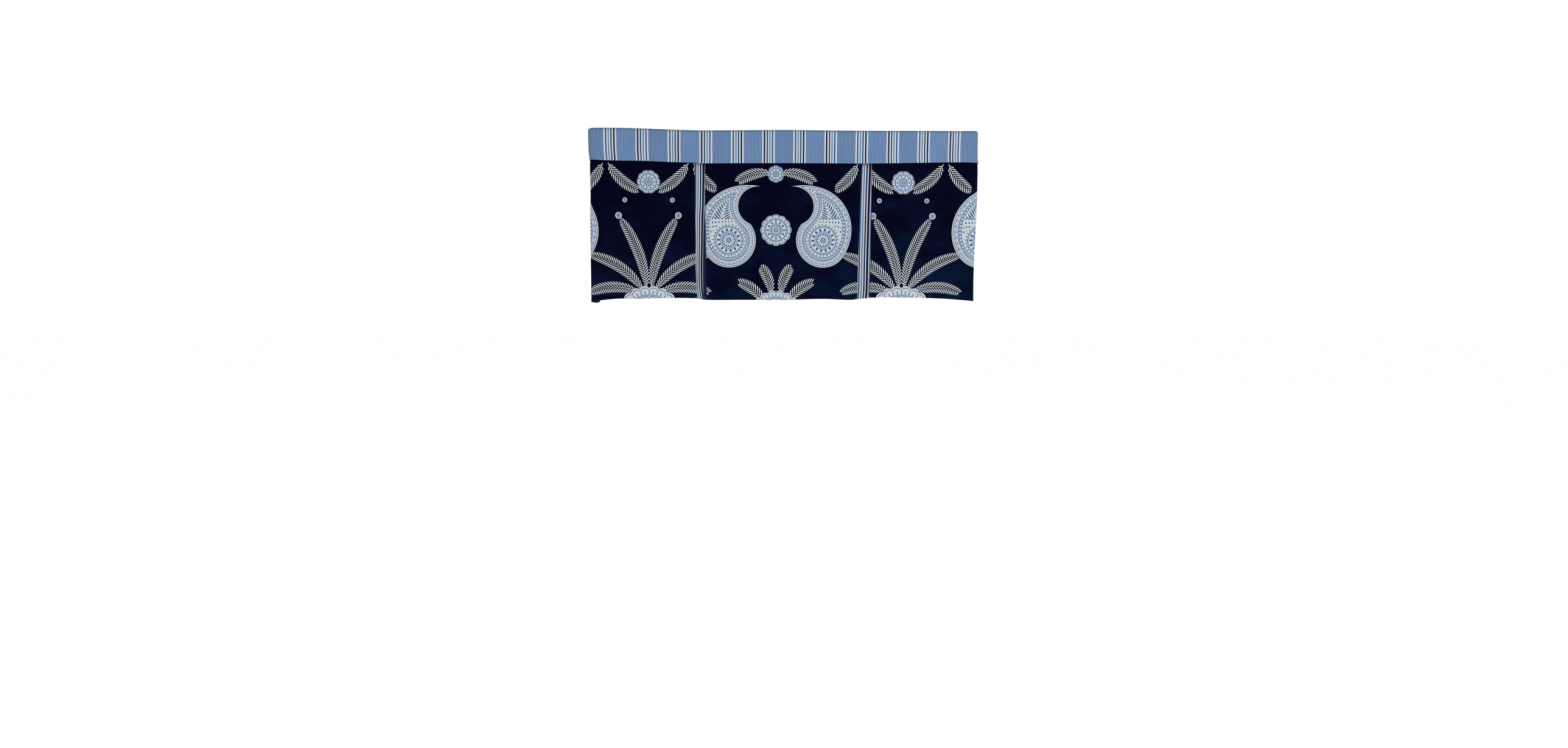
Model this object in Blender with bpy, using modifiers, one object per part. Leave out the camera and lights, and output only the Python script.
"""A flat window valance that hangs by its top edge.

A striped band runs across the top and round both returns. Under it hang three printed skirt panels.
Their edges are turned back at two inverted pleats, and a striped insert closes each pleat from behind.

Units are metres, +Z is up and the front faces -Y. The origin is the middle of the band's top edge.
"""

import math
from collections import namedtuple

import bmesh
import bpy

# Driving sizes of the made-up valance
FRONT_WIDTH = 1.152
RETURN_DEPTH = 0.086
BAND_HEIGHT = 0.096
DROP = 0.500
CORNER_RADIUS = 0.0135

# Cloth thicknesses, and the clear gap from one piece to the next
BAND_CLOTH = 0.0024
PANEL_CLOTH = 0.0020
INSERT_CLOTH = 0.0016
BAND_TO_PANEL = 0.0006
PANEL_TO_INSERT = 0.0008

# Turned edges: the band over its top, and each skirt panel round a pleat's edge
TOP_FOLD_RADIUS = 0.0040
TOP_TURNOVER = 0.026
FOLD_RADIUS = 0.0030
TURN_BACK = 0.022
TURN_BACK_RISE = 0.002
BAND_TUCK = 0.014
INSERT_OVERLAP = 0.028
INSERT_SWING_SHARE = 0.5

# How far the free back corner of each return leans towards the middle at the hem
RETURN_LEAN = 0.010
# How far from a pleat's edge the panel's cloth shifts along with that edge
EDGE_EASE = 0.100
# Length of cloth over which a panel's lower corner is rounded off
CORNER_RUN = 0.014
# Extra lines of points this far from where a turned edge starts to bend
NEAR_FOLD_RUNS = (0.014, 0.007)

# Insets of the mid-surfaces from the valance's outer face
HALF_WIDTH = FRONT_WIDTH / 2
BAND_INSET = BAND_CLOTH / 2
PANEL_INSET = BAND_CLOTH + BAND_TO_PANEL + PANEL_CLOTH / 2
INSERT_INSET = PANEL_INSET + 2 * FOLD_RADIUS + PANEL_CLOTH / 2 + PANEL_TO_INSERT + INSERT_CLOTH / 2

# Places along the cloth, measured from its middle: where a corner starts, where it ends, and the cut edge
CORNER_START = HALF_WIDTH - CORNER_RADIUS
CORNER_END = CORNER_START + CORNER_RADIUS * math.pi / 2
HALF_LENGTH = CORNER_END + RETURN_DEPTH - CORNER_RADIUS

# Heights of the edges at places along the cloth, and how far the hem swings out from the flat
Section = namedtuple("Section", "along top band_foot hem swing")
SECTIONS = (
    Section(-0.656, -0.0020, -0.0930, -0.5028, 0.0000),
    Section(-0.632, -0.0022, -0.0922, -0.5060, 0.0004),
    Section(-0.600, -0.0016, -0.0910, -0.5058, 0.0010),
    Section(-0.577, +0.0012, -0.0892, -0.5038, 0.0000),
    Section(-0.561, +0.0030, -0.0894, -0.5020, 0.0005),
    Section(-0.525, +0.0036, -0.0908, -0.4976, 0.0020),
    Section(-0.485, +0.0034, -0.0916, -0.4946, 0.0030),
    Section(-0.413, +0.0019, -0.0921, -0.4946, 0.0040),
    Section(-0.341, -0.0004, -0.0948, -0.4927, 0.0045),
    Section(-0.262, -0.0024, -0.0970, -0.4938, 0.0060),
    Section(-0.231, -0.0025, -0.0984, -0.4981, 0.0060),
    Section(-0.129, -0.0015, -0.0974, -0.4981, 0.0030),
    Section(+0.000, +0.0000, -0.0968, -0.4981, 0.0015),
    Section(+0.113, -0.0005, -0.0966, -0.4953, 0.0030),
    Section(+0.204, -0.0008, -0.0967, -0.4979, 0.0050),
    Section(+0.228, -0.0008, -0.0968, -0.4950, 0.0060),
    Section(+0.268, -0.0008, -0.0963, -0.4916, 0.0060),
    Section(+0.341, -0.0006, -0.0951, -0.4906, 0.0045),
    Section(+0.478, -0.0001, -0.0925, -0.4944, 0.0030),
    Section(+0.534, -0.0002, -0.0920, -0.4986, 0.0020),
    Section(+0.560, +0.0004, -0.0927, -0.5006, 0.0005),
    Section(+0.577, -0.0002, -0.0935, -0.5016, 0.0000),
    Section(+0.600, -0.0026, -0.0940, -0.4986, 0.0010),
    Section(+0.656, -0.0024, -0.0950, -0.4962, 0.0000),
)

# How far each end of the front leans in, at depths below the top edge
Lean = namedtuple("Lean", "down left right")
LEANS = (
    Lean(0.000, +0.0008, -0.0006),
    Lean(0.060, +0.0014, -0.0010),
    Lean(0.074, +0.0026, -0.0014),
    Lean(0.085, +0.0038, -0.0022),
    Lean(0.098, +0.0019, -0.0044),
    Lean(0.150, +0.0019, -0.0050),
    Lean(0.200, +0.0016, -0.0049),
    Lean(0.240, +0.0001, -0.0036),
    Lean(0.300, -0.0005, -0.0018),
    Lean(0.350, -0.0007, +0.0003),
    Lean(0.400, -0.0010, +0.0012),
    Lean(0.440, -0.0011, +0.0018),
    Lean(0.500, -0.0016, +0.0010),
)

# Where the four folded edges of the two pleats stand, at depths below the top edge
PleatEdges = namedtuple("PleatEdges", "down left_panel centre_left centre_right right_panel")
PLEAT_EDGES = (
    PleatEdges(0.080, -0.2629, -0.2331, 0.2299, 0.2595),
    PleatEdges(0.206, -0.2635, -0.2339, 0.2260, 0.2595),
    PleatEdges(0.295, -0.2634, -0.2328, 0.2239, 0.2584),
    PleatEdges(0.394, -0.2628, -0.2312, 0.2210, 0.2584),
    PleatEdges(0.500, -0.2583, -0.2303, 0.2187, 0.2545),
)

# The turned edges: which way the fold faces, and how far its lower corner is rounded off
Fold = namedtuple("Fold", "edge facing corner_rise")
LEFT_PANEL_FOLD = Fold("left_panel", +1, 0.0020)
CENTRE_LEFT_FOLD = Fold("centre_left", -1, 0.0070)
CENTRE_RIGHT_FOLD = Fold("centre_right", +1, 0.0010)
RIGHT_PANEL_FOLD = Fold("right_panel", -1, 0.0025)

# A line of points down a panel: its place along the cloth, its angle round a fold, its run behind the panel
Column = namedtuple("Column", "along turn behind fold")
# A line of points along the band: its share of the front's height, its angle round the top, its run behind
BandRow = namedtuple("BandRow", "share turn behind")

# Steps of the grids that the sheets are made from
RETURN_STEPS = 3
CORNER_STEPS = 5
BAND_FRONT_STEPS = 34
SIDE_FRONT_STEPS = 13
CENTRE_FRONT_STEPS = 16
FOLD_STEPS = 5
INSERT_STEPS = 5
BAND_SHARES = (0.0, 0.15, 0.4, 0.7)
SKIRT_SHARES = (0.0, 0.03, 0.14, 0.28, 0.42, 0.56, 0.70, 0.84, 0.93, 0.98, 1.0)

COLLECTION_NAME = "window_valance"
PRINTED_NAVY = ("printed_navy", (0.012, 0.022, 0.062, 1.0), 0.85)
TICKING_STRIPE = ("ticking_stripe", (0.145, 0.235, 0.410, 1.0), 0.80)


def read_table(rows, key, column, at):
    """One column's value at a place between the rows, on a soft curve through them."""
    keys = [getattr(row, key) for row in rows]
    values = [getattr(row, column) for row in rows]
    last = len(rows) - 1
    at = min(max(at, keys[0]), keys[last])
    low = max(i for i in range(last) if keys[i] <= at)

    def slope(i):
        before = max(i - 1, 0)
        after = min(i + 1, last)
        return (values[after] - values[before]) / (keys[after] - keys[before])

    span = keys[low + 1] - keys[low]
    t = (at - keys[low]) / span
    start = values[low] * (1 + 2 * t) * (1 - t) ** 2 + slope(low) * span * t * (1 - t) ** 2
    end = values[low + 1] * t * t * (3 - 2 * t) + slope(low + 1) * span * t * t * (t - 1)
    return start + end


def section(column, along):
    return read_table(SECTIONS, "along", column, along)


def pleat_edge(name, down):
    return read_table(PLEAT_EDGES, "down", name, down)


def steps(start, end, count):
    return [start + (end - start) * i / count for i in range(count + 1)]


def ease(t):
    """0 to 1, level at both ends."""
    t = min(max(t, 0.0), 1.0)
    return t * t * (3 - 2 * t)


def hang(down):
    """How much of the swing a depth below the top edge has: none under the band, all at the hem."""
    return min(max((down - BAND_HEIGHT) / (DROP - BAND_HEIGHT), 0.0), 1.0)


def plan(along, inset):
    """The point seen from above, at an inset from the outer face: front, rounded corner, return."""
    side = -1 if along < 0 else 1
    run = abs(along)
    if run <= CORNER_START:
        return along, inset
    if run >= CORNER_END:
        return side * (HALF_WIDTH - inset), CORNER_RADIUS + run - CORNER_END
    angle = (run - CORNER_START) / CORNER_RADIUS
    radius = CORNER_RADIUS - inset
    return side * (CORNER_START + radius * math.sin(angle)), CORNER_RADIUS - radius * math.cos(angle)


def hung(x, y, z, swing):
    """A point of the straight shape, moved as the hanging cloth leans and swings."""
    down = -z
    pull = (x / HALF_WIDTH) ** 2
    if x < 0:
        x += pull * read_table(LEANS, "down", "left", down)
    else:
        x -= pull * read_table(LEANS, "down", "right", down)
    behind = max(y - CORNER_RADIUS, 0.0) / (RETURN_DEPTH - CORNER_RADIUS)
    x -= math.copysign(RETURN_LEAN * behind * hang(down), x)
    y -= swing * hang(down) ** 2
    return x, y, z


def corner_columns(side):
    """Places along the cloth round one corner and down its return, from the front outwards."""
    corner = steps(CORNER_START, CORNER_END, CORNER_STEPS)
    back = steps(CORNER_END, HALF_LENGTH, RETURN_STEPS)
    return [side * along for along in corner + back[1:]]


def band_place(along, row):
    """A point of the band: up its front, round its top fold and down the turned edge behind."""
    foot = section("band_foot", along)
    fold_centre = section("top", along) - BAND_CLOTH / 2 - TOP_FOLD_RADIUS
    x, y = plan(along, BAND_INSET + TOP_FOLD_RADIUS * (1 - math.cos(row.turn)))
    z = foot + (fold_centre - foot) * row.share + TOP_FOLD_RADIUS * math.sin(row.turn) - row.behind
    return hung(x, y, z, 0.0)


def panel_place(column, share, folds):
    """A point of a skirt panel: down one column by a share of the way from behind the band to the hem."""
    top = section("band_foot", column.along) + BAND_TUCK
    hem = section("hem", column.along)
    for fold in folds:
        distance = abs(fold_start(fold) - column.along) + column.behind
        hem += fold.corner_rise * max(1 - distance / CORNER_RUN, 0.0) ** 2
    if column.behind:
        hem += TURN_BACK_RISE
    z = top + (hem - top) * share
    inset = PANEL_INSET + FOLD_RADIUS * (1 - math.cos(column.turn))
    x, y = plan(column.along, inset)
    for fold in folds:
        edge = pleat_edge(fold.edge, BAND_HEIGHT)
        shift = pleat_edge(fold.edge, -z) - edge
        x += shift * ease(1 - abs(edge - column.along) / EDGE_EASE)
    if column.fold:
        x += column.fold.facing * (FOLD_RADIUS * math.sin(column.turn) - column.behind)
    return hung(x, y, z, section("swing", column.along))


def insert_place(left_edge, right_edge, share_across, share_down):
    """A point of a pleat insert, which reaches past both folded edges behind the panels."""

    def across(down):
        left = pleat_edge(left_edge, down) - INSERT_OVERLAP
        right = pleat_edge(right_edge, down) + INSERT_OVERLAP
        return left + (right - left) * share_across

    top = section("band_foot", across(BAND_HEIGHT)) + BAND_TUCK
    z = top + (section("hem", across(DROP)) - top) * share_down
    swing = section("swing", pleat_edge(left_edge, BAND_HEIGHT)) * INSERT_SWING_SHARE
    return hung(across(-z), INSERT_INSET, z, swing)


def fold_start(fold):
    """The place along a panel's front where its turned edge starts to bend."""
    return pleat_edge(fold.edge, BAND_HEIGHT) - fold.facing * (FOLD_RADIUS + PANEL_CLOTH / 2)


def fold_columns(fold):
    """Columns near and round a turned edge, from the front to the end of the turn-back."""
    start = fold_start(fold)
    near = [Column(start - fold.facing * run, 0.0, 0.0, None) for run in NEAR_FOLD_RUNS]
    turned = [Column(start, angle, 0.0, fold) for angle in steps(0.0, math.pi, FOLD_STEPS)]
    return near + turned + [Column(start, math.pi, TURN_BACK, fold)]


def front_columns(start, end, count):
    return [Column(along, 0.0, 0.0, None) for along in steps(start, end, count)]


def make_material(name, colour, roughness):
    material = bpy.data.materials.new(name)
    material.use_nodes = True
    shader = material.node_tree.nodes["Principled BSDF"]
    shader.inputs["Base Color"].default_value = colour
    shader.inputs["Roughness"].default_value = roughness
    shader.inputs["Metallic"].default_value = 0.0
    material.diffuse_color = colour
    return material


def make_sheet(name, across, down, place, cloth, material, collection):
    """A sheet of cloth: a flat grid whose points move to their hanging places, given a thickness."""
    shape = bmesh.new()
    bmesh.ops.create_grid(shape, x_segments=len(across) - 1, y_segments=len(down) - 1, size=1.0)
    for vertex in shape.verts:
        i = round((vertex.co.x + 1) / 2 * (len(across) - 1))
        j = round((vertex.co.y + 1) / 2 * (len(down) - 1))
        vertex.co = place(across[i], down[j])
    mesh = bpy.data.meshes.new(name)
    shape.to_mesh(mesh)
    shape.free()
    mesh.materials.append(material)
    mesh.shade_smooth()
    sheet = bpy.data.objects.new(name, mesh)
    collection.objects.link(sheet)
    thicken = sheet.modifiers.new("cloth", "SOLIDIFY")
    thicken.thickness = cloth
    thicken.offset = 0.0
    thicken.use_even_offset = True
    return sheet


def make_band(material, collection):
    left = [-along for along in reversed(corner_columns(1))]
    front = steps(-CORNER_START, CORNER_START, BAND_FRONT_STEPS)
    across = left + front[1:-1] + corner_columns(1)
    rows = [BandRow(share, 0.0, 0.0) for share in BAND_SHARES]
    rows += [BandRow(1.0, angle, 0.0) for angle in steps(0.0, math.pi, FOLD_STEPS)]
    rows += [BandRow(1.0, math.pi, TOP_TURNOVER - TOP_FOLD_RADIUS)]
    make_sheet("band", across, rows, band_place, BAND_CLOTH, material, collection)


def make_panel(name, across, folds, material, collection):
    def place(column, share):
        return panel_place(column, share, folds)

    make_sheet(name, across, SKIRT_SHARES, place, PANEL_CLOTH, material, collection)


def make_side_panel(name, side, fold, material, collection):
    turned = fold_columns(fold)
    front = front_columns(side * CORNER_START, turned[0].along, SIDE_FRONT_STEPS)
    around = [Column(along, 0.0, 0.0, None) for along in reversed(corner_columns(side))]
    make_panel(name, around + front[1:-1] + turned, [fold], material, collection)


def make_centre_panel(material, collection):
    left = fold_columns(CENTRE_LEFT_FOLD)
    right = fold_columns(CENTRE_RIGHT_FOLD)
    front = front_columns(left[0].along, right[0].along, CENTRE_FRONT_STEPS)
    across = left[::-1] + front[1:-1] + right
    make_panel("panel_centre", across, [CENTRE_LEFT_FOLD, CENTRE_RIGHT_FOLD], material, collection)


def make_insert(name, left_edge, right_edge, material, collection):
    def place(share_across, share_down):
        return insert_place(left_edge, right_edge, share_across, share_down)

    across = steps(0.0, 1.0, INSERT_STEPS)
    make_sheet(name, across, SKIRT_SHARES, place, INSERT_CLOTH, material, collection)


def main():
    for item in list(bpy.data.objects):
        bpy.data.objects.remove(item, do_unlink=True)
    collection = bpy.data.collections.new(COLLECTION_NAME)
    bpy.context.scene.collection.children.link(collection)
    navy = make_material(*PRINTED_NAVY)
    ticking = make_material(*TICKING_STRIPE)
    make_band(ticking, collection)
    make_side_panel("panel_left", -1, LEFT_PANEL_FOLD, navy, collection)
    make_centre_panel(navy, collection)
    make_side_panel("panel_right", 1, RIGHT_PANEL_FOLD, navy, collection)
    make_insert("insert_left", "left_panel", "centre_left", ticking, collection)
    make_insert("insert_right", "centre_right", "right_panel", ticking, collection)


main()
